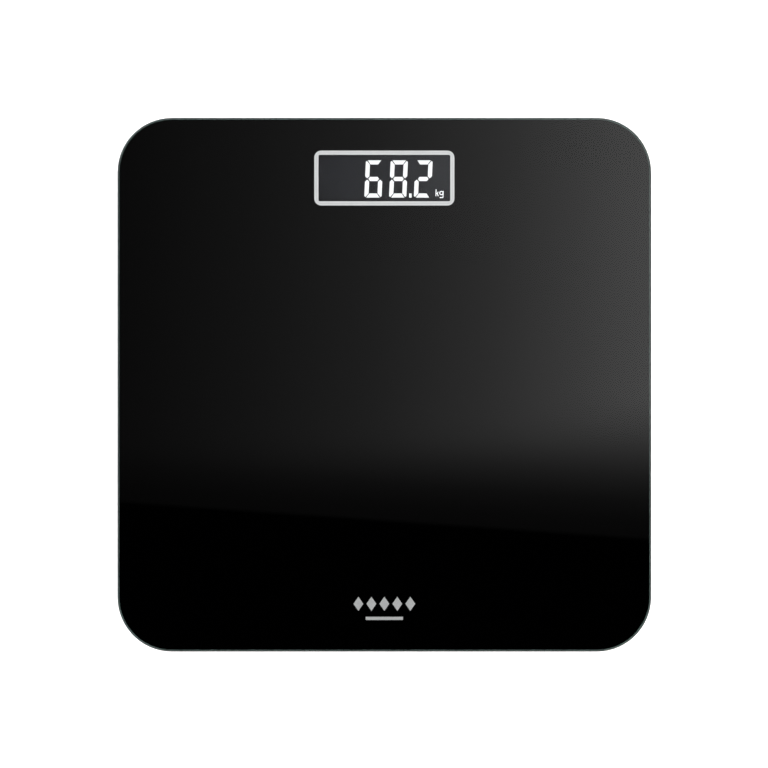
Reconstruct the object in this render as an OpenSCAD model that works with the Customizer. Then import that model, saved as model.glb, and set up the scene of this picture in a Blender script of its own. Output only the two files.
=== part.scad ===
// Slim electronic bathroom scale: one glass platform on a set-back moulded tray.
// Millimetres. Origin on the floor under the middle of the glass.
// X runs across, Y runs towards the display edge, Z runs up.

/* [Overall] */
// Width of the glass platform
body_w = 300; // [294:1:320]
// Depth of the glass platform
body_d = 300; // [294:1:320]
// Height from floor to the glass top
body_h = 22; // [22:0.5:24]
// Plan radius of the glass corners
corner_r = 30.5; // [28:0.5:34]
// Thickness of the glass
glass_t = 5; // [4:0.5:5]
// Size of the bevel ground on the glass edges
glass_bevel = 0.8; // [0.4:0.1:1.2]

/* [Tray] */
// How far the tray is set back from the glass edge
tray_setback = 12; // [11:0.5:13]
// Gap between the floor and the tray underside
floor_gap = 4; // [4:0.5:5]
// Thickness of the tray floor
tray_floor_t = 2; // [2:0.1:2.4]
// Thickness of the tray walls
tray_wall_t = 2; // [1.6:0.1:2.2]

/* [Feet] */
// Distance of each foot centre from the glass edges
foot_inset = 47; // [46:0.5:49]
// Radius of a foot cup
foot_r = 20; // [18:0.5:20]
// Upward travel of a fully loaded foot
foot_travel = 0.5; // [0.3:0.1:0.6]

/* [Display] */
// Outside width of the silver frame
frame_w = 78.9; // [78:0.1:80]
// Outside height of the silver frame
frame_h = 30.9; // [30.6:0.1:31.6]
// Width of the silver frame's band
frame_band = 2.4; // [2.2:0.1:2.8]
// Distance from the far glass edge to the middle of the display
window_inset = 33.7; // [33.2:0.1:34.2]
// Height of a lit digit
digit_h = 21; // [19:0.1:21.4]
// Width of a lit digit
digit_w = 9.7; // [9:0.1:10.2]

/* [Battery] */
// Distance from the tray middle to the battery bay
battery_y = 62; // [60:1:62]
// Width of the battery door
door_w = 32; // [30:1:34]

/* [Hidden] */
$fn = 64;
small_fn = 32;
wire_fn = 20;
// Overlap of shapes that join, and depth of cuts that run out through a face
EPS = 0.01;
through = 10;

// Levels of the stack, from the top down
print_t = 0.15;
glass_z = body_h - glass_t;
print_z = glass_z - print_t;
rim_tape_t = 0.4;
rim_z = print_z - rim_tape_t;
bracket_tape_t = 0.8;
bracket_top_z = print_z - bracket_tape_t;
gasket_t = 0.5;
lcd_top_z = print_z - gasket_t;
lcd_glass_t = 1.1;
segment_t = 0.1;
segment_z = lcd_top_z - lcd_glass_t - segment_t;
rear_glass_z = segment_z - lcd_glass_t;
tray_z = floor_gap;
tray_floor_z = tray_z + tray_floor_t;
board_t = 1.6;
board_top_z = rear_glass_z - 2.8;
board_z = board_top_z - board_t;

// Plan positions
foot_x = body_w / 2 - foot_inset;
foot_y = body_d / 2 - foot_inset;
window_y = body_d / 2 - window_inset;
window_w = frame_w - 2 * frame_band;
window_h = frame_h - 2 * frame_band;
frame_r = 4;
window_r = 0.7;
tray_w = body_w - 2 * tray_setback;
tray_d = body_d - 2 * tray_setback;
tray_r = corner_r - tray_setback;
tray_bevel = 1.8;
rim_w = 4;
print_inset = 0.8;

// Printed mark, five diamonds over a short bar
mark_y = -body_d / 2 + 24.1;
diamond_count = 5;
diamond_w = 5.6;
diamond_h = 8;
diamond_pitch = 7.3;
diamond_lift = 2.6;
mark_bar_w = 21;
mark_bar_h = 1.8;
mark_bar_drop = -5.6;

// Lit digits
digit_pitch = 13.95;
digit_stroke = 2.35;
digit_gap = 0.35;
digit_slant = 0.043;
digit_left = -11.3;
digit_bottom = window_y - 10.95;
point_x = digit_left + 25.25;
point_w = 1.4;
sign_x = digit_left + 40;
sign_y = digit_bottom + 0.8;

// Display stack and its frame
lcd_w = 78.6;
lcd_far_y = window_y + 15.3;
lcd_near_y = window_y - 16.2;
rear_near_y = window_y - 13.4;
lcd_clear = 0.3;
holder_wall = 1.4;
holder_side = 2.2;
guide_w = 74;
guide_near_y = window_y - 13.2;
guide_far_y = window_y + 13.4;
guide_h = 2.5;
led_y = 6;
led_w = 3;
led_h = 1.4;
led_depth = 1.6;
screw_x = 45;
screw_near_y = window_y - 13.6;
screw_far_y = window_y + 11.4;
screw_ear_r = 3.6;
board_screw_ear_t = 2;
board_w = 98;
board_near_y = window_y - 21.6;
board_far_y = window_y + 17;
boss_r = 3.1;
screw_r = 1.15;
pilot_r = 1.2;
screw_clear_r = 1.45;
screw_head_r = 2.1;
screw_head_h = 1.4;
screw_tip_z = tray_floor_z + 0.8;

// Unit button and the switch above it
button_x = 25;
button_y = window_y - 6.6;
button_r = 6;
button_flange_r = 7.5;
button_clear = 0.3;
button_recess = 0.5;
button_lip = 1.6;
button_dish = 0.3;
button_flange_t = 0.8;
button_post_r = 1.5;
switch_w = 6;
plunger_r = 1.7;
plunger_z = 7.25;
plunger_h = 1.2;
switch_z = 7.95;

// Battery bay
cell_r = 10;
bay_clear = 0.6;
bay_wall = 1.8;
bay_roof_z = 10;
bay_roof_t = 1.4;
door_d = 30;
door_t = 1.4;
door_clear = 0.3;
barrel_r = 1.1;
barrel_y = barrel_r - door_d / 2;
barrel_z = tray_z + barrel_r;
pin_r = 0.7;
pin_reach = 1.2;
pin_bore_r = 0.75;
pin_bore_reach = 1.4;
bay_pad_t = 3;
latch_half_w = 4;
latch_t = 1.2;
roof_clear = 0.1;
coin_z = tray_z + 2.2;
coin_h = 3.2;
contact_t = 0.25;
positive_half_w = 2.5;
negative_half_w = 2;
negative_tail_x = -7.5;
tail_slot_clear = 0.3;
tail_top_z = 12.6;

// Load-cell corner
cell_size = 34;
cell_t = 1.5;
cell_top_z = bracket_top_z - 3.65;
cell_z = cell_top_z - cell_t;
cell_clear = 0.3;
cell_ring = 25;
tongue_w = 16;
tongue_d = 22;
tongue_shift = 3;
bracket_size = 44;
bracket_low_z = cell_z - 0.5;
bracket_ear_y = 26;
bracket_ear_r = 4;
bracket_ear_t = 2;
bracket_relief = 27;
hole_clear = 0.5;
collar_t = 1.8;
collar_h = 3.2;
stud_r = 7;
neck_r = 2.4;
head_r = 3.2;
head_h = 0.8;
bracket_relief_h = head_h + foot_travel + 0.35;
pad_t = 2.5;
pad_r = foot_r - 2;
groove_w = 1;
groove_depth = 0.6;
cup_low_z = 1.2;
cup_floor_z = pad_t + 1.8;
cup_rim_z = tray_z + 3.6;
cup_wall_t = 2;
cup_rib_t = 1.4;
cup_rib_h = 3;
gauge_y = 10;

// Wires
wire_r = 0.65;
wire_pitch = 1.7;
wire_z = tray_floor_z + wire_r + 0.1;
wire_exit_y = 8;
wire_lane_x = foot_x - 25.6;
wire_cross_y = window_y - 29.6;
board_pad_y = board_near_y + 3.6;
board_pad_x = 33;
board_pad_pitch = 2.6;
side_pad_x = 46.6;
solder_h = 0.65;
lead_pad_x = 7;
lead_pad_y = board_near_y + 1.6;
wire_end_z = board_z - solder_h;

// Colours
glass_colour = [0.62, 0.72, 0.70, 0.45];
enamel_black = [0.015, 0.015, 0.017];
silver_print = [0.78, 0.78, 0.79];
tray_grey = [0.13, 0.13, 0.14];
foam_grey = [0.32, 0.32, 0.33];
lcd_dark = [0.06, 0.062, 0.068];
lit_white = [0.97, 0.98, 1.0];
frost_white = [0.86, 0.87, 0.88];
board_green = [0.05, 0.24, 0.12];
resin_black = [0.03, 0.03, 0.03];
steel = [0.62, 0.63, 0.65];
tin = [0.74, 0.74, 0.74];
rubber_grey = [0.20, 0.20, 0.21];
ceramic_tan = [0.63, 0.52, 0.38];
wire_red_c = [0.65, 0.05, 0.04];
wire_black_c = [0.03, 0.03, 0.03];
wire_white_c = [0.85, 0.85, 0.82];

// Shared shapes

module rounded_rect(w, d, r) {
    square([w - 2 * r, d], center = true);
    square([w, d - 2 * r], center = true);
    for (sx = [-1, 1], sy = [-1, 1])
        translate([sx * (w / 2 - r), sy * (d / 2 - r)])
            circle(r = r);
}

module slab(w, d, r, h) {
    linear_extrude(height = h)
        rounded_rect(w, d, r);
}

// A layer whose outline shrinks by cut from bottom to top
module tapering_layer(w, d, r, h, cut) {
    for (sx = [-1, 1], sy = [-1, 1])
        translate([sx * (w / 2 - r), sy * (d / 2 - r), 0])
            cylinder(r1 = r, r2 = r - cut, h = h);
    rotate([90, 0, 0])
        linear_extrude(height = d - 2 * r, center = true)
            polygon([[-w / 2, 0], [w / 2, 0], [w / 2 - cut, h], [-w / 2 + cut, h]]);
    rotate([90, 0, 90])
        linear_extrude(height = w - 2 * r, center = true)
            polygon([[-d / 2, 0], [d / 2, 0], [d / 2 - cut, h], [-d / 2 + cut, h]]);
}

// A plain block given by two opposite corners
module block(low, high) {
    translate(low)
        cube(high - low);
}

module pan_screw(head_z) {
    difference() {
        union() {
            translate([0, 0, head_z])
                cylinder(r1 = screw_head_r, r2 = screw_head_r - 0.5, h = screw_head_h, $fn = small_fn);
            translate([0, 0, screw_tip_z])
                cylinder(r = screw_r, h = head_z - screw_tip_z + EPS, $fn = small_fn);
        }
        translate([-1.2, -0.25, head_z + screw_head_h - 0.7])
            cube([2.4, 0.5, 1]);
        translate([-0.25, -1.2, head_z + screw_head_h - 0.7])
            cube([0.5, 2.4, 1]);
    }
}

// Copies of the left corners' children, mirrored for the right corners
module both_sides() {
    children();
    mirror([1, 0, 0])
        children();
}

module at_foot(sx, sy) {
    translate([sx * foot_x, sy * foot_y, 0])
        children();
}

module at_feet() {
    for (sx = [-1, 1], sy = [-1, 1])
        at_foot(sx, sy)
            children();
}

module at_board_screws() {
    for (sx = [-1, 1], y = [screw_near_y, screw_far_y])
        translate([sx * screw_x, y, 0])
            children();
}

// Top group

module glass_platform()
    color(glass_colour) {
        translate([0, 0, glass_z + glass_bevel])
            slab(body_w, body_d, corner_r, glass_t - 2 * glass_bevel);
        translate([0, 0, body_h - glass_bevel])
            tapering_layer(body_w, body_d, corner_r, glass_bevel, glass_bevel);
        translate([0, 0, glass_z + glass_bevel])
            mirror([0, 0, 1])
                tapering_layer(body_w, body_d, corner_r, glass_bevel, glass_bevel);
    }

module mark_shape()
    translate([0, mark_y]) {
        for (i = [0 : diamond_count - 1])
            translate([(i - (diamond_count - 1) / 2) * diamond_pitch, diamond_lift])
                polygon([[-diamond_w / 2, 0], [0, -diamond_h / 2],
                    [diamond_w / 2, 0], [0, diamond_h / 2]]);
        translate([0, mark_bar_drop])
            square([mark_bar_w, mark_bar_h], center = true);
    }

module back_print()
    color(enamel_black)
        translate([0, 0, print_z])
            linear_extrude(height = print_t)
                difference() {
                    rounded_rect(body_w - 2 * print_inset, body_d - 2 * print_inset,
                        corner_r - print_inset);
                    translate([0, window_y])
                        rounded_rect(frame_w, frame_h, frame_r);
                    mark_shape();
                }

module window_border()
    color(silver_print)
        translate([0, window_y, print_z])
            linear_extrude(height = print_t)
                difference() {
                    rounded_rect(frame_w, frame_h, frame_r);
                    rounded_rect(window_w, window_h, window_r);
                }

module printed_mark()
    color(silver_print)
        translate([0, 0, print_z])
            linear_extrude(height = print_t)
                mark_shape();

module rim_tape()
    color(foam_grey)
        translate([0, 0, rim_z])
            linear_extrude(height = rim_tape_t)
                difference() {
                    rounded_rect(tray_w, tray_d, tray_r);
                    rounded_rect(tray_w - 2 * rim_w, tray_d - 2 * rim_w, tray_r - rim_w);
                }

module bracket_tapes()
    color(foam_grey)
        at_feet()
            translate([0, 0, bracket_top_z])
                slab(bracket_size - 4, bracket_size - 4, 5, bracket_tape_t);

// Base tray

module tray_shell() {
    rim_t = 1.5;
    difference() {
        union() {
            translate([0, 0, tray_z + tray_bevel])
                slab(tray_w, tray_d, tray_r, rim_z - tray_z - tray_bevel);
            translate([0, 0, tray_z + tray_bevel])
                mirror([0, 0, 1])
                    tapering_layer(tray_w, tray_d, tray_r, tray_bevel, tray_bevel);
        }
        translate([0, 0, tray_floor_z])
            slab(tray_w - 2 * tray_wall_t, tray_d - 2 * tray_wall_t, tray_r - tray_wall_t,
                rim_z - rim_t - tray_floor_z);
        translate([0, 0, rim_z - rim_t - EPS])
            slab(tray_w - 2 * rim_w, tray_d - 2 * rim_w, tray_r - rim_w, rim_t + 1);
    }
}

module tray_ribs() {
    rib_t = 1.4;
    rib_h = 4.5;
    rib_x = 45;
    lane_w = 3 * wire_pitch + 3;
    lane_h = 2.4;
    lane_near_y = -70;
    lane_d = 120;
    half_w = tray_w / 2 - tray_wall_t;
    half_d = tray_d / 2 - tray_wall_t;
    difference() {
        for (y = [-60, 0, 36])
            translate([-half_w - EPS, y - rib_t / 2, tray_floor_z - EPS])
                cube([2 * half_w + 2 * EPS, rib_t, rib_h]);
        for (sx = [-1, 1])
            translate([sx * (wire_lane_x - wire_pitch) - lane_w / 2, lane_near_y, tray_floor_z])
                cube([lane_w, lane_d, lane_h]);
    }
    for (sx = [-1, 1])
        translate([sx * rib_x - rib_t / 2, -half_d - EPS, tray_floor_z - EPS])
            cube([rib_t, half_d + wire_cross_y - 6, rib_h]);
}

module foot_collar()
    cylinder(r = foot_r + hole_clear + collar_t, h = collar_h);

module bracket_bosses()
    for (sy = [-1, 1])
        translate([0, sy * bracket_ear_y, tray_floor_z - EPS])
            cylinder(r = boss_r, h = bracket_low_z - tray_floor_z + EPS, $fn = small_fn);

module battery_bay_solid() {
    bay_r = cell_r + bay_clear + bay_wall;
    translate([0, battery_y, tray_floor_z - EPS])
        cylinder(r = bay_r, h = bay_roof_z + bay_roof_t - tray_floor_z);
    translate([0, battery_y, tray_floor_z - EPS])
        slab(door_w + 6, door_d + 7, 2, bay_pad_t - tray_floor_t);
}

// A round bar along the door's hinge line, reaching past both ends of the door
module hinge_bar(r, reach, facets)
    translate([0, barrel_y, barrel_z])
        rotate([0, 90, 0])
            cylinder(r = r, h = door_w + 2 * reach, center = true, $fn = facets);

module battery_bay_space() {
    half_w = door_w / 2 + door_clear;
    half_d = door_d / 2;
    door_top_z = tray_z + door_t;
    latch_space = latch_half_w + 0.4;
    tail_half_w = positive_half_w + tail_slot_clear;
    translate([0, battery_y, 0]) {
        hinge_bar(barrel_r + door_clear, door_clear, small_fn);
        hinge_bar(pin_bore_r, pin_bore_reach, small_fn);
        translate([0, 0, door_top_z + roof_clear])
            cylinder(r = cell_r + bay_clear, h = bay_roof_z - door_top_z - roof_clear);
        block([-half_w, -half_d - door_clear, tray_z - 1],
            [half_w, half_d + door_clear, door_top_z + roof_clear]);
        block([-latch_space, half_d - latch_t - 0.4, door_top_z],
            [latch_space, half_d + 0.4, tray_z + bay_pad_t + 1]);
        block([cell_r - 0.2, -tail_half_w, bay_roof_z - 1],
            [cell_r + bay_clear, tail_half_w, bay_roof_z + 3]);
        block([negative_tail_x - tail_slot_clear, -negative_half_w - 0.2, bay_roof_z - 1],
            [negative_tail_x + 0.5, negative_half_w + 0.2, bay_roof_z + 3]);
    }
}

module base_tray()
    color(tray_grey)
        difference() {
            union() {
                tray_shell();
                difference() {
                    tray_ribs();
                    at_feet()
                        translate([0, 0, tray_z])
                            cylinder(r = foot_r + hole_clear + 1, h = through);
                }
                at_feet()
                    translate([0, 0, tray_floor_z - EPS])
                        foot_collar();
                at_feet()
                    bracket_bosses();
                at_board_screws()
                    translate([0, 0, tray_floor_z - EPS])
                        cylinder(r = boss_r, h = board_z - tray_floor_z + EPS, $fn = small_fn);
                battery_bay_solid();
            }
            at_feet()
                translate([0, 0, tray_z - 1])
                    cylinder(r = foot_r + hole_clear, h = through);
            at_feet()
                for (sy = [-1, 1])
                    translate([0, sy * bracket_ear_y, screw_tip_z - 0.3])
                        cylinder(r = pilot_r, h = through, $fn = small_fn);
            at_board_screws()
                translate([0, 0, screw_tip_z - 0.3])
                    cylinder(r = pilot_r, h = through, $fn = small_fn);
            translate([button_x, button_y, tray_z - 1])
                cylinder(r = button_r + button_clear, h = through);
            battery_bay_space();
        }

// Display

module window_gasket()
    color(foam_grey)
        translate([0, (lcd_far_y + lcd_near_y) / 2, lcd_top_z])
            linear_extrude(height = gasket_t)
                difference() {
                    square([lcd_w + 4, lcd_far_y - lcd_near_y + 1.8], center = true);
                    translate([0, window_y - (lcd_far_y + lcd_near_y) / 2])
                        square([window_w + 1, window_h + 1], center = true);
                }

module lcd_front_glass()
    color([0.5, 0.52, 0.55, 0.3])
        block([-lcd_w / 2, lcd_near_y, segment_z + segment_t],
            [lcd_w / 2, lcd_far_y, lcd_top_z]);

module lcd_rear_glass()
    color(lcd_dark)
        block([-lcd_w / 2, rear_near_y, rear_glass_z], [lcd_w / 2, lcd_far_y, segment_z]);

function slanted(points) = [for (p = points) [p[0] + p[1] * digit_slant, p[1]]];
function flipped(points) = [for (p = points) [p[0], digit_h - p[1]]];
function swapped(points) = [for (p = points) [digit_w - p[0], p[1]]];

// Segment outlines, drawn for the lower left and the bottom
bar_reach = 0.75;
side_points = [[0, 0.9], [0.5, 0.45], [0.75, 0.45], [digit_stroke, digit_stroke + 0.1],
    [digit_stroke, digit_h / 2 - digit_stroke / 2 - digit_gap],
    [digit_stroke / 2, digit_h / 2 - digit_gap],
    [0, digit_h / 2 - digit_stroke / 2 - digit_gap]];
end_points = [[bar_reach + digit_gap, 0], [digit_w - bar_reach - digit_gap, 0],
    [digit_w - digit_stroke - digit_gap, digit_stroke],
    [digit_stroke + digit_gap, digit_stroke]];
middle_points = [[digit_stroke / 2 + 2 * digit_gap, digit_h / 2],
    [digit_stroke + digit_gap, digit_h / 2 + digit_stroke / 2],
    [digit_w - digit_stroke - digit_gap, digit_h / 2 + digit_stroke / 2],
    [digit_w - digit_stroke / 2 - 2 * digit_gap, digit_h / 2],
    [digit_w - digit_stroke - digit_gap, digit_h / 2 - digit_stroke / 2],
    [digit_stroke + digit_gap, digit_h / 2 - digit_stroke / 2]];

module digit(index, lower_left, lower_right, upper_left, upper_right)
    translate([digit_left + index * digit_pitch, digit_bottom, segment_z])
        linear_extrude(height = segment_t) {
            polygon(slanted(end_points));
            polygon(slanted(flipped(end_points)));
            polygon(slanted(middle_points));
            if (lower_left)
                polygon(slanted(side_points));
            if (lower_right)
                polygon(slanted(swapped(side_points)));
            if (upper_left)
                polygon(slanted(flipped(side_points)));
            if (upper_right)
                polygon(slanted(swapped(flipped(side_points))));
        }

module unit_sign()
    translate([sign_x, sign_y, segment_z])
        linear_extrude(height = segment_t) {
            polygon([[0.05, 0], [0.55, 0], [0.7, 3.8], [0.2, 3.8]]);
            polygon([[0.45, 1.3], [0.75, 1.05], [1.95, 2.4], [1.35, 2.45]]);
            polygon([[0.8, 1.45], [1.2, 1.9], [2, 0], [1.4, 0]]);
            translate([3.4, 1.75])
                difference() {
                    circle(r = 1.2, $fn = small_fn);
                    circle(r = 0.65, $fn = small_fn);
                }
            polygon([[4.05, -0.6], [4.55, -0.6], [4.7, 2.95], [4.25, 2.95]]);
            polygon([[2.4, -1.05], [4.2, -1.05], [4.55, -0.6], [4.05, -0.5], [2.5, -0.5]]);
        }

module lcd_segments()
    color(lit_white) {
        digit(0, true, true, true, false);
        digit(1, true, true, true, true);
        digit(2, true, false, false, true);
        translate([point_x, digit_bottom, segment_z])
            cube([point_w, digit_stroke, segment_t]);
        unit_sign();
    }

module backlight_guide()
    color(frost_white)
        difference() {
            block([-guide_w / 2, guide_near_y, board_top_z],
                [guide_w / 2, guide_far_y, board_top_z + guide_h]);
            for (y = [-led_y, led_y])
                translate([-guide_w / 2 - 1, window_y + y - led_w / 2 - 0.3, board_top_z - 1])
                    cube([led_depth + 1, led_w + 0.6, guide_h + 2]);
        }

module backlight_leds()
    color([0.95, 0.93, 0.75])
        for (y = [-led_y, led_y])
            translate([-guide_w / 2 - 0.4, window_y + y - led_w / 2, board_top_z])
                cube([led_depth, led_w, led_h]);

module lcd_holder()
    color([0.88, 0.88, 0.86])
        difference() {
            union() {
                block([-lcd_w / 2 - lcd_clear - holder_side, lcd_near_y - lcd_clear - holder_wall,
                    board_top_z],
                    [lcd_w / 2 + lcd_clear + holder_side, lcd_far_y + lcd_clear + holder_wall,
                    lcd_top_z]);
                at_board_screws()
                    translate([0, 0, board_top_z])
                        cylinder(r = screw_ear_r, h = board_screw_ear_t, $fn = small_fn);
            }
            block([-lcd_w / 2 - lcd_clear, lcd_near_y - lcd_clear, board_top_z - 1],
                [lcd_w / 2 + lcd_clear, lcd_far_y + lcd_clear, lcd_top_z + 1]);
            at_board_screws()
                translate([0, 0, board_top_z - 1])
                    cylinder(r = screw_clear_r, h = through, $fn = small_fn);
            at_board_screws()
                translate([0, 0, board_top_z + board_screw_ear_t])
                    cylinder(r = screw_head_r + 0.3, h = through, $fn = small_fn);
        }

module lcd_connector_strip()
    color([0.75, 0.35, 0.42])
        block([-lcd_w / 2 + 4, lcd_near_y + 0.3, board_top_z],
            [lcd_w / 2 - 4, rear_near_y - 0.4, segment_z + segment_t]);

// Electronics

module circuit_board()
    color(board_green)
        difference() {
            block([-board_w / 2, board_near_y, board_z],
                [board_w / 2, board_far_y, board_top_z]);
            at_board_screws()
                translate([0, 0, board_z - 1])
                    cylinder(r = screw_clear_r, h = 4, $fn = small_fn);
        }

module chip_cover()
    color(resin_black)
        translate([-8, window_y - 2, board_z])
            mirror([0, 0, 1])
                cylinder(r1 = 6.5, r2 = 4.5, h = 1.1, $fn = 48);

// Each chip part is a body with a tinned cap at either end, drawn as one block
module hanging_chip(x, y, w, d, h)
    block([x - w / 2, window_y + y - d / 2, board_z - h],
        [x + w / 2, window_y + y + d / 2, board_z]);

module board_capacitors()
    color(ceramic_tan) {
        hanging_chip(6, 6, 2, 1.25, 0.9);
        hanging_chip(6, 2, 2, 1.25, 0.9);
        hanging_chip(-20, 8, 3.2, 1.6, 1.2);
        hanging_chip(-20, 4, 3.2, 1.6, 1.2);
    }

module board_resistors()
    color(resin_black) {
        for (i = [0 : 3])
            hanging_chip(-24 + 3 * i, -6, 1.25, 2, 0.5);
        hanging_chip(14, 6, 1.25, 2, 0.5);
        hanging_chip(14, 2, 1.25, 2, 0.5);
    }

module solder_dome(x, y)
    translate([x, y, wire_end_z])
        cylinder(r1 = 0.75, r2 = 1.1, h = solder_h, $fn = wire_fn);

module solder_joints()
    color(tin) {
        both_sides() {
            for (k = [0 : 2]) {
                solder_dome(-board_pad_x - k * board_pad_pitch, board_pad_y);
                solder_dome(-side_pad_x, foot_y + wire_exit_y + (k - 1) * wire_pitch * 1.5);
            }
        }
        for (sx = [-1, 1])
            translate([sx * lead_pad_x, lead_pad_y, board_top_z])
                cylinder(r1 = 1.1, r2 = 0.75, h = solder_h, $fn = wire_fn);
    }

module board_screws()
    color(steel)
        at_board_screws()
            pan_screw(board_top_z + board_screw_ear_t);

module switch_body()
    color(resin_black)
        difference() {
            block([button_x - switch_w / 2, button_y - switch_w / 2, switch_z],
                [button_x + switch_w / 2, button_y + switch_w / 2, board_z]);
            translate([button_x, button_y, switch_z - 1])
                cylinder(r = plunger_r + 0.08, h = 2.1, $fn = small_fn);
        }

module switch_plunger()
    color([0.55, 0.1, 0.08])
        translate([button_x, button_y, plunger_z])
            cylinder(r = plunger_r, h = plunger_h, $fn = small_fn);

module unit_button()
    color([0.22, 0.22, 0.23])
        translate([button_x, button_y, 0]) {
            difference() {
                translate([0, 0, tray_z + button_recess])
                    cylinder(r = button_r, h = tray_floor_t - 0.4);
                translate([0, 0, tray_z - 1])
                    cylinder(r = button_r - button_lip, h = 1 + button_recess + button_dish);
            }
            translate([0, 0, tray_floor_z + 0.06])
                cylinder(r = button_flange_r, h = button_flange_t);
            translate([0, 0, tray_floor_z + button_flange_t])
                cylinder(r = button_post_r, h = plunger_z - tray_floor_z - button_flange_t - 0.02,
                    $fn = small_fn);
        }

// Power

module coin_cell()
    color([0.75, 0.75, 0.76])
        translate([0, battery_y, coin_z]) {
            cylinder(r = cell_r, h = coin_h - 0.5);
            cylinder(r = cell_r - 1.1, h = coin_h);
        }

module battery_contact_positive()
    color([0.72, 0.66, 0.45])
        translate([0, battery_y, 0])
            block([cell_r + 0.05, -positive_half_w, coin_z + 0.4],
                [cell_r + 0.05 + contact_t, positive_half_w, tail_top_z]);

// The tail, then a leaf sprung down onto the coin cell, seen from the side
module negative_contact_shape() {
    cell_side_z = coin_z + coin_h + 0.02;
    tail_inner_x = negative_tail_x + contact_t;
    polygon([[negative_tail_x, bay_roof_z - 0.3], [tail_inner_x, bay_roof_z - 0.3],
        [0, cell_side_z], [3, cell_side_z],
        [4.5, bay_roof_z - 0.25], [4.3, bay_roof_z - 0.05],
        [3, cell_side_z + contact_t], [0, cell_side_z + contact_t],
        [tail_inner_x, bay_roof_z - 0.05], [tail_inner_x, tail_top_z],
        [negative_tail_x, tail_top_z]]);
}

module battery_contact_negative()
    color([0.72, 0.66, 0.45])
        translate([0, battery_y, 0])
            rotate([90, 0, 0])
                linear_extrude(height = 2 * negative_half_w, center = true)
                    negative_contact_shape();

// Grip grooves outside, two rails under the coin cell and a latch lip inside
module battery_door() {
    grip_half_w = 6;
    grip_half_t = 0.4;
    grip_depth = 0.5;
    rail_half_t = 0.6;
    rail_half_l = 8;
    door_top_z = tray_z + door_t;
    color(tray_grey)
        translate([0, battery_y, 0]) {
            difference() {
                block([-door_w / 2, barrel_y, tray_z], [door_w / 2, door_d / 2, door_top_z]);
                for (y = [7.5, 9.5, 11.5])
                    block([-grip_half_w, y - grip_half_t, tray_z - 1],
                        [grip_half_w, y + grip_half_t, tray_z + grip_depth]);
            }
            hinge_bar(barrel_r, 0, small_fn);
            hinge_bar(pin_r, pin_reach, small_fn);
            for (x = [-4, 4])
                block([x - rail_half_t, -rail_half_l, door_top_z - EPS],
                    [x + rail_half_t, rail_half_l, coin_z - 0.06]);
            block([-latch_half_w, door_d / 2 - latch_t, door_top_z - EPS],
                [latch_half_w, door_d / 2, tray_z + bay_pad_t - 0.1]);
        }
}

// Weighing corners

module load_cell_bracket(sx, sy) {
    pocket = cell_size / 2 + cell_clear;
    color([0.80, 0.80, 0.78])
        at_foot(sx, sy)
            difference() {
                union() {
                    translate([0, 0, bracket_low_z])
                        slab(bracket_size, bracket_size, 6, bracket_top_z - bracket_low_z);
                    for (ey = [-1, 1])
                        translate([0, ey * bracket_ear_y, bracket_low_z])
                            cylinder(r = bracket_ear_r, h = bracket_ear_t, $fn = small_fn);
                    block([-bracket_ear_r, -bracket_ear_y, bracket_low_z],
                        [bracket_ear_r, bracket_ear_y, bracket_low_z + bracket_ear_t]);
                }
                block([-pocket, -pocket, cell_z], [pocket, pocket, cell_top_z]);
                block([-cell_size / 2 + 1, -pocket, bracket_low_z - 1],
                    [cell_size / 2 - 1, pocket, cell_z + EPS]);
                block([-bracket_relief / 2, -bracket_relief / 2, cell_top_z - EPS],
                    [bracket_relief / 2, bracket_relief / 2, cell_top_z + bracket_relief_h]);
                for (x = [19.5, 24])
                    block([-sx * x - 3, wire_exit_y - 4, bracket_low_z - 1],
                        [-sx * x + 3, wire_exit_y + 4, cell_top_z + 0.4]);
                for (ey = [-1, 1])
                    translate([0, ey * bracket_ear_y, bracket_low_z - 1])
                        cylinder(r = screw_clear_r, h = 4, $fn = small_fn);
                for (ey = [-1, 1])
                    translate([0, ey * bracket_ear_y, bracket_low_z + bracket_ear_t])
                        cylinder(r = screw_head_r + 0.4, h = 6, $fn = small_fn);
            }
}

module bracket_screws()
    color(steel)
        at_feet()
            for (ey = [-1, 1])
                translate([0, ey * bracket_ear_y, 0])
                    pan_screw(bracket_low_z + bracket_ear_t);

module load_cell(sx, sy)
    color(steel)
        at_foot(sx, sy)
            translate([0, 0, cell_z])
                linear_extrude(height = cell_t)
                    difference() {
                        rounded_rect(cell_size, cell_size, 3);
                        difference() {
                            square([cell_ring, cell_ring], center = true);
                            translate([0, tongue_shift])
                                square([tongue_w, tongue_d], center = true);
                        }
                        circle(r = neck_r + 0.1, $fn = small_fn);
                    }

module gauge_seals()
    color([0.9, 0.9, 0.88])
        at_feet()
            translate([0, gauge_y, cell_top_z])
                cylinder(r1 = 3, r2 = 2.2, h = 0.7, $fn = small_fn);

module foot_cup(sx, sy)
    color([0.24, 0.24, 0.25])
        at_foot(sx, sy) {
            difference() {
                translate([0, 0, cup_low_z])
                    cylinder(r = foot_r, h = cup_rim_z - cup_low_z);
                cylinder(r = pad_r + 0.1, h = pad_t);
                translate([0, 0, cup_floor_z])
                    difference() {
                        cylinder(r = foot_r - cup_wall_t, h = through);
                        cylinder(r = stud_r, h = through);
                    }
            }
            for (a = [0, 90])
                rotate([0, 0, a])
                    block([1 - foot_r, -cup_rib_t / 2, cup_floor_z - EPS],
                        [foot_r - 1, cup_rib_t / 2, cup_floor_z + cup_rib_h]);
            translate([0, 0, cup_floor_z - EPS])
                cylinder(r = stud_r, h = cell_z - cup_floor_z + EPS);
            translate([0, 0, cell_z - EPS])
                cylinder(r = neck_r, h = cell_t + 2 * EPS, $fn = small_fn);
            translate([0, 0, cell_top_z])
                cylinder(r1 = head_r, r2 = neck_r, h = head_h, $fn = small_fn);
        }

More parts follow.
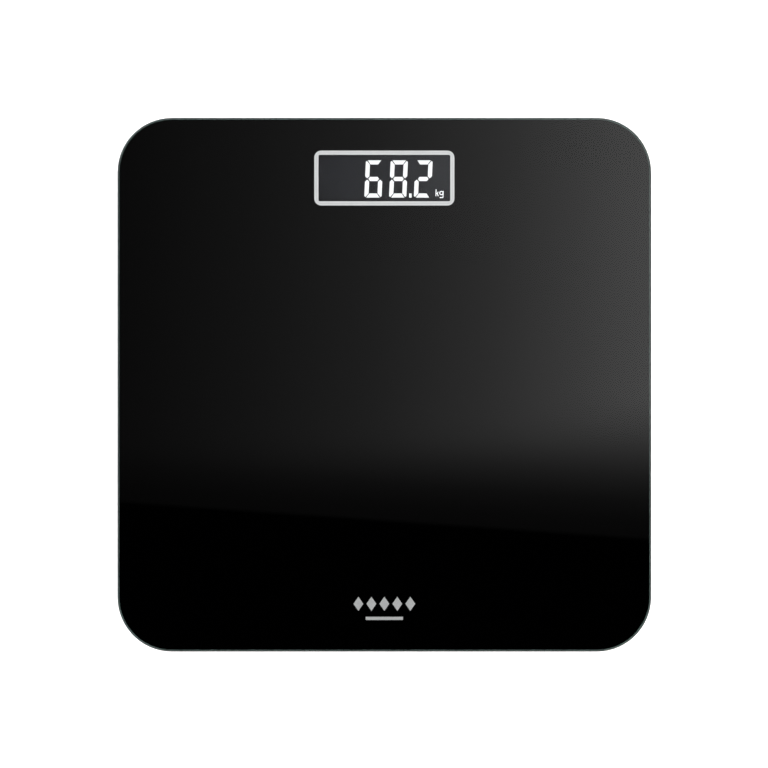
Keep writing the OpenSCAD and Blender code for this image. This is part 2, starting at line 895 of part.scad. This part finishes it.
module foot_pad(sx, sy)
    color(rubber_grey)
        at_foot(sx, sy)
            difference() {
                cylinder(r = pad_r, h = pad_t);
                for (r = [6, 11])
                    translate([0, 0, -1])
                        difference() {
                            cylinder(r = r + groove_w, h = 1 + groove_depth);
                            cylinder(r = r, h = 1 + groove_depth);
                        }
            }

// Wires: straight runs with a ball at each bend

module wire_run(points)
    for (i = [0 : len(points) - 2]) {
        step = points[i + 1] - points[i];
        run = norm(step);
        tilt = acos(step[2] / run);
        heading = atan2(step[1], step[0]);
        translate(points[i])
            rotate([0, tilt, heading])
                cylinder(r = wire_r, h = run, $fn = wire_fn);
        if (i > 0)
            translate(points[i])
                sphere(r = wire_r * 1.05, $fn = wire_fn);
    }

// Wire k of a left front cell: along the tray side, then across to the board
module front_wire(k) {
    y0 = -foot_y + wire_exit_y + (k - 1) * wire_pitch;
    lane_x = -wire_lane_x - (k - 1) * wire_pitch;
    cross_y = wire_cross_y + (k - 1) * wire_pitch;
    end_x = -board_pad_x - k * board_pad_pitch;
    exit_z = cell_z + cell_t / 2;
    wire_run([[-foot_x + cell_size / 2 + 0.02, y0, exit_z], [lane_x, y0, exit_z],
        [lane_x, y0, wire_z], [lane_x, cross_y, wire_z], [end_x, cross_y, wire_z],
        [end_x, board_pad_y, wire_z], [end_x, board_pad_y, wire_end_z]]);
}

// Wire k of a left rear cell: straight across to the board's end
module rear_wire(k) {
    y0 = foot_y + wire_exit_y + (k - 1) * wire_pitch;
    end_y = foot_y + wire_exit_y + (k - 1) * wire_pitch * 1.5;
    exit_z = cell_z + cell_t / 2;
    drop_x = -foot_x + bracket_size / 2 + 2.4;
    wire_run([[-foot_x + cell_size / 2 + 0.02, y0, exit_z], [drop_x, y0, exit_z],
        [drop_x, y0, wire_z], [-side_pad_x - 8, y0, wire_z], [-side_pad_x, end_y, wire_z],
        [-side_pad_x, end_y, wire_end_z]]);
}

module wire_set(k)
    both_sides() {
        front_wire(k);
        rear_wire(k);
    }

module battery_lead(sx, tail_x)
    wire_run([[tail_x, battery_y + 2.6, tail_top_z - 0.4],
        [tail_x, battery_y + 10, tail_top_z + 0.1],
        [sx * lead_pad_x, lead_pad_y, tail_top_z + 0.1],
        [sx * lead_pad_x, lead_pad_y, board_top_z + solder_h]]);

module wires_red()
    color(wire_red_c) {
        wire_set(0);
        battery_lead(1, cell_r + 0.2);
    }

module wires_black()
    color(wire_black_c) {
        wire_set(1);
        battery_lead(-1, negative_tail_x + 0.1);
    }

module wires_white()
    color(wire_white_c)
        wire_set(2);

glass_platform();
back_print();
window_border();
printed_mark();
rim_tape();
base_tray();
bracket_tapes();
window_gasket();
lcd_front_glass();
lcd_rear_glass();
lcd_segments();
backlight_guide();
backlight_leds();
lcd_holder();
lcd_connector_strip();
circuit_board();
chip_cover();
board_capacitors();
board_resistors();
solder_joints();
board_screws();
switch_body();
switch_plunger();
unit_button();
coin_cell();
battery_contact_positive();
battery_contact_negative();
battery_door();
load_cell_bracket(-1, -1);  // load_cell_bracket_fl
load_cell_bracket(1, -1);  // load_cell_bracket_fr
load_cell_bracket(-1, 1);  // load_cell_bracket_rl
load_cell_bracket(1, 1);  // load_cell_bracket_rr
bracket_screws();
load_cell(-1, -1);  // load_cell_fl
load_cell(1, -1);  // load_cell_fr
load_cell(-1, 1);  // load_cell_rl
load_cell(1, 1);  // load_cell_rr
gauge_seals();
foot_cup(-1, -1);  // foot_cup_fl
foot_cup(1, -1);  // foot_cup_fr
foot_cup(-1, 1);  // foot_cup_rl
foot_cup(1, 1);  // foot_cup_rr
foot_pad(-1, -1);  // foot_pad_fl
foot_pad(1, -1);  // foot_pad_fr
foot_pad(-1, 1);  // foot_pad_rl
foot_pad(1, 1);  // foot_pad_rr
wires_red();
wires_black();
wires_white();
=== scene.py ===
"""Slim glass bathroom scale: looks, floor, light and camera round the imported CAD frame. Metres."""

import math

import bmesh
import bpy
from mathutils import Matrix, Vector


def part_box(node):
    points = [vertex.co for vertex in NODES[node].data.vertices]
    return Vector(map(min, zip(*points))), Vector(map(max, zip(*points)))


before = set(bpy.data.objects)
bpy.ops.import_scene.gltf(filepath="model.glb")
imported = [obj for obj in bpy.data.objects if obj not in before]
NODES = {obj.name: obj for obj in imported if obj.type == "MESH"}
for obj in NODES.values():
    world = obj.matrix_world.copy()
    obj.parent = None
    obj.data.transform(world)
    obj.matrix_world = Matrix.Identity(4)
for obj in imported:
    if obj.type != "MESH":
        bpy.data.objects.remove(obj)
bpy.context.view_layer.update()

MM = 0.001
CAMERA_HEIGHT = 2.4
CARD_HEIGHT = 3.0
FRAME_BAND = 2.4 * MM
FRAME_RADIUS = 4 * MM
SILVER = (0.440, 0.442, 0.444)
glass_low, glass_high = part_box("glass_platform")
border_low, border_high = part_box("window_border")
glass_w = glass_high.x - glass_low.x
glass_top = glass_high.z


# Node helpers


class Material:
    """A Principled material with short calls for the nodes that feed it."""

    def __init__(self, name):
        self.data = bpy.data.materials.new(name)
        self.data.use_nodes = True
        self.tree = self.data.node_tree
        self.shader = self.tree.nodes["Principled BSDF"]
        self.coords = self.node("ShaderNodeTexCoord").outputs["Object"]

    def node(self, kind, **settings):
        made = self.tree.nodes.new(kind)
        for key, value in settings.items():
            setattr(made, key, value)
        return made

    def link(self, source, target):
        self.tree.links.new(source, target)

    def feed(self, socket, value):
        if isinstance(value, bpy.types.NodeSocket):
            self.link(value, socket)
        else:
            socket.default_value = value

    def set(self, **values):
        """Sets shader inputs by name, with _ for each space."""
        for key, value in values.items():
            self.feed(self.shader.inputs[key.replace("_", " ")], value)

    def math(self, operation, a, b=0.0, c=0.0, clamp=False):
        made = self.node("ShaderNodeMath", operation=operation, use_clamp=clamp)
        for socket, value in zip(made.inputs, (a, b, c)):
            self.feed(socket, value)
        return made.outputs[0]

    def vector_math(self, operation, a, b=(0, 0, 0)):
        made = self.node("ShaderNodeVectorMath", operation=operation)
        self.feed(made.inputs[0], a)
        self.feed(made.inputs[1], b)
        return made.outputs["Value" if operation in ("LENGTH", "DOT_PRODUCT") else "Vector"]

    def xyz(self, vector):
        made = self.node("ShaderNodeSeparateXYZ")
        self.link(vector, made.inputs[0])
        return made.outputs

    def noise(self, size, detail=4.0, rough=0.55, vector=None):
        """Noise whose features are about size metres across."""
        made = self.node("ShaderNodeTexNoise")
        self.feed(made.inputs["Vector"], vector or self.coords)
        made.inputs["Scale"].default_value = 1.0 / size
        made.inputs["Detail"].default_value = detail
        made.inputs["Roughness"].default_value = rough
        return made.outputs["Fac"]

    def cells(self, size, feature="F1"):
        made = self.node("ShaderNodeTexVoronoi", feature=feature)
        self.link(self.coords, made.inputs["Vector"])
        made.inputs["Scale"].default_value = 1.0 / size
        return made.outputs["Distance"]

    def spread(self, value, low, high, to_low, to_high):
        """Maps value from low..high to to_low..to_high, clamped."""
        made = self.node("ShaderNodeMapRange", clamp=True)
        self.feed(made.inputs["Value"], value)
        made.inputs["From Min"].default_value = low
        made.inputs["From Max"].default_value = high
        made.inputs["To Min"].default_value = to_low
        made.inputs["To Max"].default_value = to_high
        return made.outputs["Result"]

    def mix(self, amount, a, b):
        """Colour a where amount is 0, colour b where it is 1."""
        made = self.node("ShaderNodeMix", data_type="RGBA")
        self.feed(made.inputs[0], amount)
        self.feed(made.inputs[6], a if isinstance(a, bpy.types.NodeSocket) else (*a, 1.0))
        self.feed(made.inputs[7], b if isinstance(b, bpy.types.NodeSocket) else (*b, 1.0))
        return made.outputs[2]

    def ramp(self, value, *stops):
        """stops are (position, grey or colour)."""
        made = self.node("ShaderNodeValToRGB")
        self.feed(made.inputs[0], value)
        ramp = made.color_ramp
        while len(ramp.elements) < len(stops):
            ramp.elements.new(0.5)
        for element, (position, colour) in zip(ramp.elements, stops):
            element.position = position
            grey = not isinstance(colour, tuple)
            element.color = (colour, colour, colour, 1.0) if grey else (*colour, 1.0)
        return made.outputs["Color"]

    def bump(self, *layers, base=None):
        """layers are (height, depth in metres), from the finest to the coarsest, over base."""
        normal = base
        for height, depth in layers:
            made = self.node("ShaderNodeBump")
            made.inputs["Strength"].default_value = 1.0
            made.inputs["Distance"].default_value = depth
            self.feed(made.inputs["Height"], height)
            if normal:
                self.link(normal, made.inputs["Normal"])
            normal = made.outputs["Normal"]
        self.link(normal, self.shader.inputs["Normal"])

    def rounded(self, radius):
        """The surface normal, with sharp edges rounded off."""
        made = self.node("ShaderNodeBevel", samples=6)
        made.inputs["Radius"].default_value = radius
        return made.outputs["Normal"]

    def edges(self, radius):
        """Near 1 along sharp edges and near 0 elsewhere."""
        flat = self.node("ShaderNodeNewGeometry").outputs["True Normal"]
        alike = self.vector_math("DOT_PRODUCT", self.rounded(radius), flat)
        return self.spread(alike, 0.98, 0.86, 0.0, 1.0)

    def facing_up(self):
        """The face normal's upward part, from -1 to 1."""
        return self.xyz(self.node("ShaderNodeNewGeometry").outputs["True Normal"])[2]


def scaled(colour, factor):
    return tuple(channel * factor for channel in colour)


# Materials of the top


def platform_glass():
    """Polished on top, ground round the edges, and inked under.

    The ink leaves no air under the glass, so the underside neither bends light nor shines."""
    polished_ior = 1.52
    ground_ior = 1.34
    m = Material("platform_glass")
    ground = m.spread(m.math("ABSOLUTE", m.facing_up()), 0.9, 0.98, 1.0, 0.0)
    inked = m.math("LESS_THAN", m.xyz(m.coords)[2], glass_low.z + 0.05 * MM)
    smear = m.noise(45 * MM, 3.0, 0.5)
    fine = m.noise(0.7 * MM, 2.0)
    polish = m.spread(smear, 0.35, 0.7, 0.004, 0.016)
    grind = m.spread(fine, 0.3, 0.7, 0.22, 0.36)
    m.set(
        Base_Color=m.mix(ground, (0.975, 0.99, 0.985), (0.012, 0.03, 0.024)),
        Roughness=m.math("ADD", polish, m.math("MULTIPLY", ground, grind)),
        IOR=m.math("SUBTRACT", m.spread(ground, 0.0, 1.0, polished_ior, ground_ior),
                   m.math("MULTIPLY", inked, polished_ior - 1.0)),
        Transmission_Weight=1.0,
    )
    m.bump((m.math("MULTIPLY", fine, ground), 0.03 * MM))
    return m.data


def black_enamel():
    """Dead black through the glass, dark satin where it is seen from below."""
    m = Material("black_enamel")
    under = m.spread(m.facing_up(), -0.9, 0.9, 1.0, 0.0)
    grain = m.noise(0.35 * MM, 3.0)
    blotch = m.noise(18 * MM, 3.0)
    black = m.mix(blotch, (0.00005, 0.00005, 0.00006), (0.00015, 0.00015, 0.00018))
    satin = m.mix(blotch, (0.008, 0.008, 0.0085), (0.014, 0.014, 0.0145))
    m.set(
        Base_Color=m.mix(under, black, satin),
        Roughness=m.spread(under, 0.0, 1.0, 0.05, 0.42),
        Specular_IOR_Level=m.spread(under, 0.0, 1.0, 0.0, 0.4),
    )
    m.bump((m.math("MULTIPLY", grain, under), 0.02 * MM))
    return m.data


def frame_distance(m):
    """Signed distance in metres from the display frame's outer edge, negative inside the band."""
    centre = (border_low + border_high) / 2
    half = (border_high - border_low) / 2
    place = m.vector_math("SUBTRACT", m.coords, (centre.x, centre.y, 0.0))
    x, y, _ = m.xyz(m.vector_math("ABSOLUTE", place))
    beyond_x = m.math("SUBTRACT", x, half.x - FRAME_RADIUS)
    beyond_y = m.math("SUBTRACT", y, half.y - FRAME_RADIUS)
    corner_x = m.math("MAXIMUM", beyond_x, 0.0)
    corner_y = m.math("MAXIMUM", beyond_y, 0.0)
    square_x = m.math("MULTIPLY", corner_x, corner_x)
    corner = m.math("SQRT", m.math("MULTIPLY_ADD", corner_y, corner_y, square_x))
    inner = m.math("MINIMUM", m.math("MAXIMUM", beyond_x, beyond_y), 0.0)
    return m.math("SUBTRACT", m.math("ADD", corner, inner), FRAME_RADIUS)


def silver_ink(name, silver, banded):
    """Silver ink printed on the glass. A banded one has painted shade and painted highlights across
    the frame, as if the frame rose and fell along its middle.
    """
    m = Material(name)
    flake = m.noise(0.12 * MM, 2.0, 0.7)
    cloud = m.noise(9 * MM, 3.0)
    colour = m.mix(flake, scaled(silver, 0.95), scaled(silver, 1.05))
    colour = m.mix(m.math("MULTIPLY", cloud, 0.25), colour, scaled(silver, 0.93))
    if banded:
        across = m.spread(frame_distance(m), -FRAME_BAND, 0.0, 0.0, 1.0)
        # Painted shade and painted highlights on the flat ink: darker at the band's edges and along
        # its middle, paler between, as light would fall on a stepped frame.
        painted_relief_light = m.ramp(across, (0.0, 0.6), (0.22, 0.9), (0.4, 0.85), (0.5, 0.4),
                      (0.6, 0.8), (0.78, 0.9), (1.0, 0.6))
        shade = m.mix(painted_relief_light, scaled(silver, 0.7), scaled(silver, 1.15))
        colour = m.mix(0.8, colour, shade)
    m.set(Base_Color=colour, Metallic=0.15, Roughness=m.spread(flake, 0.3, 0.7, 0.32, 0.48))
    m.bump((flake, 0.004 * MM))
    return m.data


# Materials of the display


def display_field():
    """The dark display behind its cover, a little paler towards the right as painted reflection,
    following the glass's sheen that grows that way.
    """
    m = Material("display_field")
    grain = m.noise(0.09 * MM, 2.0, 0.7)
    x = m.xyz(m.coords)[0]
    # Painted reflection: the field gets paler towards +X, as the glass's sheen does.
    right = m.spread(x, -37 * MM, 37 * MM, 0.0, 1.0)
    colour = m.mix(right, (0.0065, 0.0067, 0.0077), (0.0118, 0.0121, 0.0132))
    m.set(
        Base_Color=m.mix(m.math("MULTIPLY", grain, 0.3), colour, (0.0088, 0.0092, 0.0101)),
        Roughness=m.spread(grain, 0.3, 0.7, 0.38, 0.5),
        Specular_IOR_Level=0.0,
    )
    return m.data


def display_cover():
    """The display's front glass, seen through the platform and so nearly without shine."""
    m = Material("display_cover")
    film = m.noise(0.2 * MM, 2.0)
    m.set(
        Base_Color=(0.98, 0.985, 1.0, 1.0),
        Roughness=m.spread(film, 0.3, 0.7, 0.01, 0.05),
        IOR=1.02,
        Transmission_Weight=1.0,
    )
    return m.data


def lit_segment():
    """Lit from behind, with a slight unevenness."""
    m = Material("lit_segment")
    cell = m.noise(0.5 * MM, 2.0)
    glow = m.spread(cell, 0.3, 0.7, 0.96, 1.0)
    tint = m.node("ShaderNodeCombineColor")
    for socket, factor in zip(tint.inputs, (0.985, 0.992, 1.0)):
        m.feed(socket, m.math("MULTIPLY", glow, factor))
    m.set(
        Base_Color=(0.06, 0.06, 0.06, 1.0),
        Roughness=m.spread(cell, 0.3, 0.7, 0.5, 0.65),
        Specular_IOR_Level=0.1,
        Emission_Color=tint.outputs[0],
        Emission_Strength=1.04,
    )
    return m.data


# Materials of the underside and the inside


def moulded_plastic(name, colour, rough=0.46, grain_size=0.3, grain_depth=0.02):
    """Spark-eroded moulding: fine pits, a little sheen variation, paler rubbed edges."""
    m = Material(name)
    pits = m.cells(grain_size * MM)
    fine = m.noise(grain_size * 0.4 * MM, 3.0, 0.6)
    flow = m.noise(28 * MM, 4.0)
    dust = m.noise(3 * MM, 6.0, 0.7)
    base = m.mix(flow, scaled(colour, 0.9), scaled(colour, 1.1))
    worn = m.math("MULTIPLY", m.edges(0.5 * MM), m.spread(dust, 0.45, 0.6, 0.15, 0.6))
    pale = tuple(min(1.0, channel * 1.5 + 0.02) for channel in colour)
    m.set(
        Base_Color=m.mix(worn, base, pale),
        Roughness=m.math("ADD", m.spread(flow, 0.3, 0.7, rough - 0.05, rough + 0.06),
                         m.math("MULTIPLY", fine, 0.05)),
    )
    m.bump((fine, grain_depth * 0.4 * MM), (pits, grain_depth * MM), base=m.rounded(0.35 * MM))
    return m.data


def moulded_rubber(name, colour):
    """Matt non-slip rubber with a mould haze and a trace of floor dust on its sole."""
    m = Material(name)
    fine = m.noise(0.16 * MM, 4.0, 0.7)
    haze = m.noise(7 * MM, 5.0, 0.65)
    down = m.spread(m.facing_up(), -1.0, -0.8, 1.0, 0.0)
    dusty = m.math("MULTIPLY", down, m.spread(haze, 0.48, 0.66, 0.0, 0.35))
    base = m.mix(haze, scaled(colour, 0.8), scaled(colour, 1.25))
    m.set(
        Base_Color=m.mix(dusty, base, (0.24, 0.23, 0.21)),
        Roughness=m.spread(fine, 0.3, 0.7, 0.72, 0.9),
        Specular_IOR_Level=0.3,
    )
    m.bump((fine, 0.03 * MM), (haze, 0.05 * MM))
    return m.data


def foam(name, colour):
    """Open-pored foam, matt and a little uneven in colour."""
    m = Material(name)
    pores = m.cells(0.22 * MM)
    blotch = m.noise(4 * MM)
    m.set(
        Base_Color=m.mix(blotch, scaled(colour, 0.8), scaled(colour, 1.2)),
        Roughness=0.95,
        Specular_IOR_Level=0.2,
    )
    m.bump((pores, 0.08 * MM))
    return m.data


def plated_metal(name, colour, rough=0.3, brushed=True):
    """Stamped or turned metal with drawn lines, handling marks and duller patches."""
    m = Material(name)
    stretched = m.vector_math("MULTIPLY", m.coords, (1.0, 14.0, 1.0))
    lines = m.noise(1.2 * MM, 3.0, 0.6, stretched if brushed else None)
    patch = m.noise(5 * MM, 4.0)
    m.set(
        Base_Color=m.mix(patch, scaled(colour, 0.9), scaled(colour, 1.08)),
        Metallic=1.0,
        Roughness=m.math("ADD", m.spread(patch, 0.3, 0.7, rough - 0.06, rough + 0.08),
                         m.math("MULTIPLY", lines, 0.08)),
    )
    m.bump((lines, 0.006 * MM))
    return m.data


def circuit_laminate():
    """Green solder mask with paler tracks under it."""
    m = Material("circuit_laminate")
    x, y, _ = m.xyz(m.coords)
    drift = m.noise(9 * MM, 1.0)
    across = m.math("MULTIPLY_ADD", drift, 6 * MM, y)
    wave = m.math("SINE", m.math("MULTIPLY", across, math.tau / (1.3 * MM)))
    track = m.spread(wave, 0.2, 0.4, 0.0, 1.0)
    region = m.spread(m.noise(12 * MM, 1.0), 0.5, 0.53, 0.0, 1.0)
    shown = m.math("MULTIPLY", track, region)
    weave = m.noise(0.5 * MM, 2.0)
    m.set(
        Base_Color=m.mix(shown, (0.010, 0.085, 0.035), (0.018, 0.15, 0.06)),
        Roughness=m.spread(weave, 0.3, 0.7, 0.26, 0.36),
        Coat_Weight=0.4,
    )
    m.bump((weave, 0.01 * MM), (shown, 0.03 * MM))
    return m.data


def glossy_resin(name, colour, rough=0.25, emit=0.0):
    """Cast or extruded plastic with a faint ripple. emit makes it glow in its own colour."""
    m = Material(name)
    ripple = m.noise(2.2 * MM, 3.0)
    speck = m.noise(0.25 * MM, 2.0)
    m.set(
        Base_Color=m.mix(speck, scaled(colour, 0.88), scaled(colour, 1.1)),
        Roughness=m.spread(ripple, 0.3, 0.7, rough - 0.06, rough + 0.1),
    )
    if emit:
        m.set(Emission_Color=(*colour, 1.0), Emission_Strength=emit)
    m.bump((speck, 0.006 * MM), (ripple, 0.04 * MM))
    return m.data


def paint(material, *names):
    for name in names:
        NODES[name].data.materials.clear()
        NODES[name].data.materials.append(material)


CORNERS = ("fl", "fr", "rl", "rr")


def each_corner(name):
    return [f"{name}_{corner}" for corner in CORNERS]


def paint_everything():
    paint(platform_glass(), "glass_platform")
    paint(black_enamel(), "back_print")
    paint(silver_ink("silver_frame_ink", SILVER, True), "window_border")
    paint(silver_ink("silver_mark_ink", scaled(SILVER, 0.7), False), "printed_mark")
    paint(display_field(), "lcd_rear_glass")
    paint(display_cover(), "lcd_front_glass")
    paint(lit_segment(), "lcd_segments")
    paint(foam("foam_tape", (0.07, 0.07, 0.075)), "rim_tape", "bracket_tapes")
    paint(foam("foam_gasket", (0.012, 0.012, 0.013)), "window_gasket")
    paint(moulded_plastic("tray_plastic", (0.022, 0.022, 0.024)), "base_tray", "battery_door")
    paint(moulded_plastic("button_plastic", (0.055, 0.055, 0.058), 0.36, 0.2, 0.008), "unit_button")
    paint(moulded_plastic("cup_plastic", (0.04, 0.04, 0.043), 0.4, 0.22, 0.012),
          *each_corner("foot_cup"))
    paint(moulded_rubber("pad_rubber", (0.062, 0.062, 0.066)), *each_corner("foot_pad"))
    paint(moulded_plastic("bracket_plastic", (0.62, 0.62, 0.59), 0.42, 0.4, 0.01),
          "lcd_holder", *each_corner("load_cell_bracket"))
    paint(plated_metal("cell_steel", (0.56, 0.57, 0.58), 0.34), *each_corner("load_cell"))
    paint(plated_metal("screw_zinc", (0.58, 0.6, 0.64), 0.26, False),
          "board_screws", "bracket_screws")
    paint(plated_metal("cell_can", (0.66, 0.66, 0.66), 0.24), "coin_cell")
    paint(plated_metal("contact_bronze", (0.72, 0.66, 0.5), 0.22),
          "battery_contact_positive", "battery_contact_negative")
    paint(plated_metal("solder_tin", (0.7, 0.7, 0.7), 0.2, False), "solder_joints")
    paint(circuit_laminate(), "circuit_board")
    paint(glossy_resin("potting_resin", (0.012, 0.012, 0.013), 0.3), "chip_cover", "switch_body",
          "board_resistors")
    paint(glossy_resin("chip_ceramic", (0.42, 0.3, 0.17), 0.4), "board_capacitors")
    paint(glossy_resin("plunger_red", (0.36, 0.02, 0.015), 0.3), "switch_plunger")
    paint(glossy_resin("guide_acrylic", (0.78, 0.8, 0.82), 0.3, 0.3), "backlight_guide")
    paint(glossy_resin("led_lens", (0.95, 0.9, 0.6), 0.2, 1.0), "backlight_leds")
    paint(moulded_rubber("conductive_rubber", (0.42, 0.1, 0.15)), "lcd_connector_strip")
    paint(glossy_resin("white_silicone", (0.7, 0.7, 0.66), 0.35), "gauge_seals")
    paint(glossy_resin("red_insulation", (0.42, 0.012, 0.01), 0.35), "wires_red")
    paint(glossy_resin("black_insulation", (0.012, 0.012, 0.012), 0.35), "wires_black")
    paint(glossy_resin("white_insulation", (0.68, 0.68, 0.64), 0.35), "wires_white")


def let_light_through():
    """Lamps reach the print and the display through the clear sheets."""
    for name in ("glass_platform", "lcd_front_glass"):
        NODES[name].visible_shadow = False


# Floor, light and camera


def quad(name, width, depth, place):
    """A flat four-point face, centred on place, facing up."""
    mesh = bpy.data.meshes.new(name)
    made = bmesh.new()
    corners = [(-1, -1), (1, -1), (1, 1), (-1, 1)]
    made.faces.new([made.verts.new((sx * width / 2, sy * depth / 2, 0.0)) for sx, sy in corners])
    made.to_mesh(mesh)
    made.free()
    obj = bpy.data.objects.new(name, mesh)
    obj.location = place
    bpy.context.scene.collection.objects.link(obj)
    return obj


def floor():
    """A matt white sweep, lit a little from within so that its far end stays white."""
    m = Material("pale_floor")
    speck = m.noise(6 * MM, 4.0)
    m.set(
        Base_Color=m.mix(speck, (0.93, 0.93, 0.93), (0.96, 0.96, 0.96)),
        Roughness=0.85,
        Specular_IOR_Level=0.1,
        Emission_Color=(1.0, 1.0, 1.0, 1.0),
        Emission_Strength=0.25,
    )
    obj = quad("floor", 60.0, 60.0, (0.0, 0.0, 0.0))
    obj.data.materials.append(m.data)


def reflector_card():
    """An unlit ceiling card with one soft glow, which the glass shows as its reflection.

    The glow grows towards +X. It ends along a slightly tilted line below the middle, and
    climbs from there until it meets the side-to-side tone.
    Its nodes work in the tone of the picture, so the last steps turn tone into light."""
    reach = 1.0 + CARD_HEIGHT / (CAMERA_HEIGHT - glass_top)
    half_view = glass_w / 2 * reach
    m = Material("ceiling_card")
    x, y, _ = m.xyz(m.coords)
    across = m.math("DIVIDE", x, half_view)
    up = m.math("DIVIDE", y, half_view)
    level = m.ramp(m.spread(across, -1.0, 1.0, 0.0, 1.0), (0.0, 0.038), (0.25, 0.074),
                   (0.47, 0.114), (0.7, 0.170), (0.85, 0.220), (1.0, 0.280))
    past_edge = m.math("MULTIPLY_ADD", across, 0.07, m.math("ADD", up, 0.506))
    climb = m.ramp(m.spread(past_edge, 0.0, 0.53, 0.0, 1.0), (0.0, 0.022), (0.1, 0.028),
                   (0.25, 0.050), (0.43, 0.102), (0.68, 0.190), (1.0, 0.290))
    tone = m.math("SMOOTH_MIN", level, climb, 0.1)
    light = m.math("POWER", m.math("DIVIDE", m.math("ADD", tone, 0.055), 1.055), 2.4)
    shown = m.math("MULTIPLY", light, m.spread(past_edge, -0.012, 0.004, 0.0, 1.0))
    glass_shine = 0.0426
    m.set(
        Base_Color=(0.0, 0.0, 0.0, 1.0),
        Specular_IOR_Level=0.0,
        Emission_Color=(1.0, 1.0, 1.0, 1.0),
        Emission_Strength=m.math("DIVIDE", shown, glass_shine),
    )
    card = quad("ceiling_card", 3.0 * half_view, 3.0 * half_view,
                (0.0, 0.0, glass_top + CARD_HEIGHT))
    card.data.materials.append(m.data)


def area_lamp(name, azimuth, elevation, distance, size, power):
    """A soft square lamp aimed at the origin. Azimuth 0 is in front, at -Y."""
    data = bpy.data.lights.new(name, "AREA")
    data.shape = "SQUARE"
    data.size = size
    data.energy = power
    lamp = bpy.data.objects.new(name, data)
    a, e = math.radians(azimuth), math.radians(elevation)
    lamp.location = (distance * math.sin(a) * math.cos(e), -distance * math.cos(a) * math.cos(e),
                     distance * math.sin(e))
    lamp.rotation_euler = (math.pi / 2 - e, 0.0, a)
    bpy.context.scene.collection.objects.link(lamp)


def lights():
    """Three soft lamps and a bright surround that is whitest near the horizon."""
    area_lamp("key", 140, 58, 2.2, 1.4, 34)
    area_lamp("fill", 230, 55, 2.4, 1.4, 26)
    area_lamp("front", 10, 55, 2.4, 1.6, 44)
    world = bpy.data.worlds.new("studio")
    world.use_nodes = True
    tree = world.node_tree
    coords = tree.nodes.new("ShaderNodeTexCoord")
    parts = tree.nodes.new("ShaderNodeSeparateXYZ")
    tree.links.new(coords.outputs["Generated"], parts.inputs[0])
    fade = tree.nodes.new("ShaderNodeMapRange")
    fade.interpolation_type = "SMOOTHSTEP"
    tree.links.new(parts.outputs["Z"], fade.inputs["Value"])
    fade.inputs["From Min"].default_value = 0.02
    fade.inputs["From Max"].default_value = 0.45
    fade.inputs["To Min"].default_value = 1.15
    fade.inputs["To Max"].default_value = 0.75
    background = tree.nodes["Background"]
    background.inputs["Color"].default_value = (1.0, 1.0, 1.0, 1.0)
    tree.links.new(fade.outputs["Result"], background.inputs["Strength"])
    bpy.context.scene.world = world
    bpy.context.scene.view_settings.view_transform = "Standard"


def camera():
    """Straight above, with a long lens, so that the glass hides everything under it."""
    picture_w = 0.4316
    data = bpy.data.cameras.new("camera")
    data.sensor_width = 36.0
    data.lens = 36.0 * (CAMERA_HEIGHT - glass_top) / picture_w
    obj = bpy.data.objects.new("camera", data)
    obj.location = (-0.0002, 0.0004, CAMERA_HEIGHT)
    bpy.context.scene.collection.objects.link(obj)
    bpy.context.scene.camera = obj


paint_everything()
let_light_through()
floor()
reflector_card()
lights()
camera()
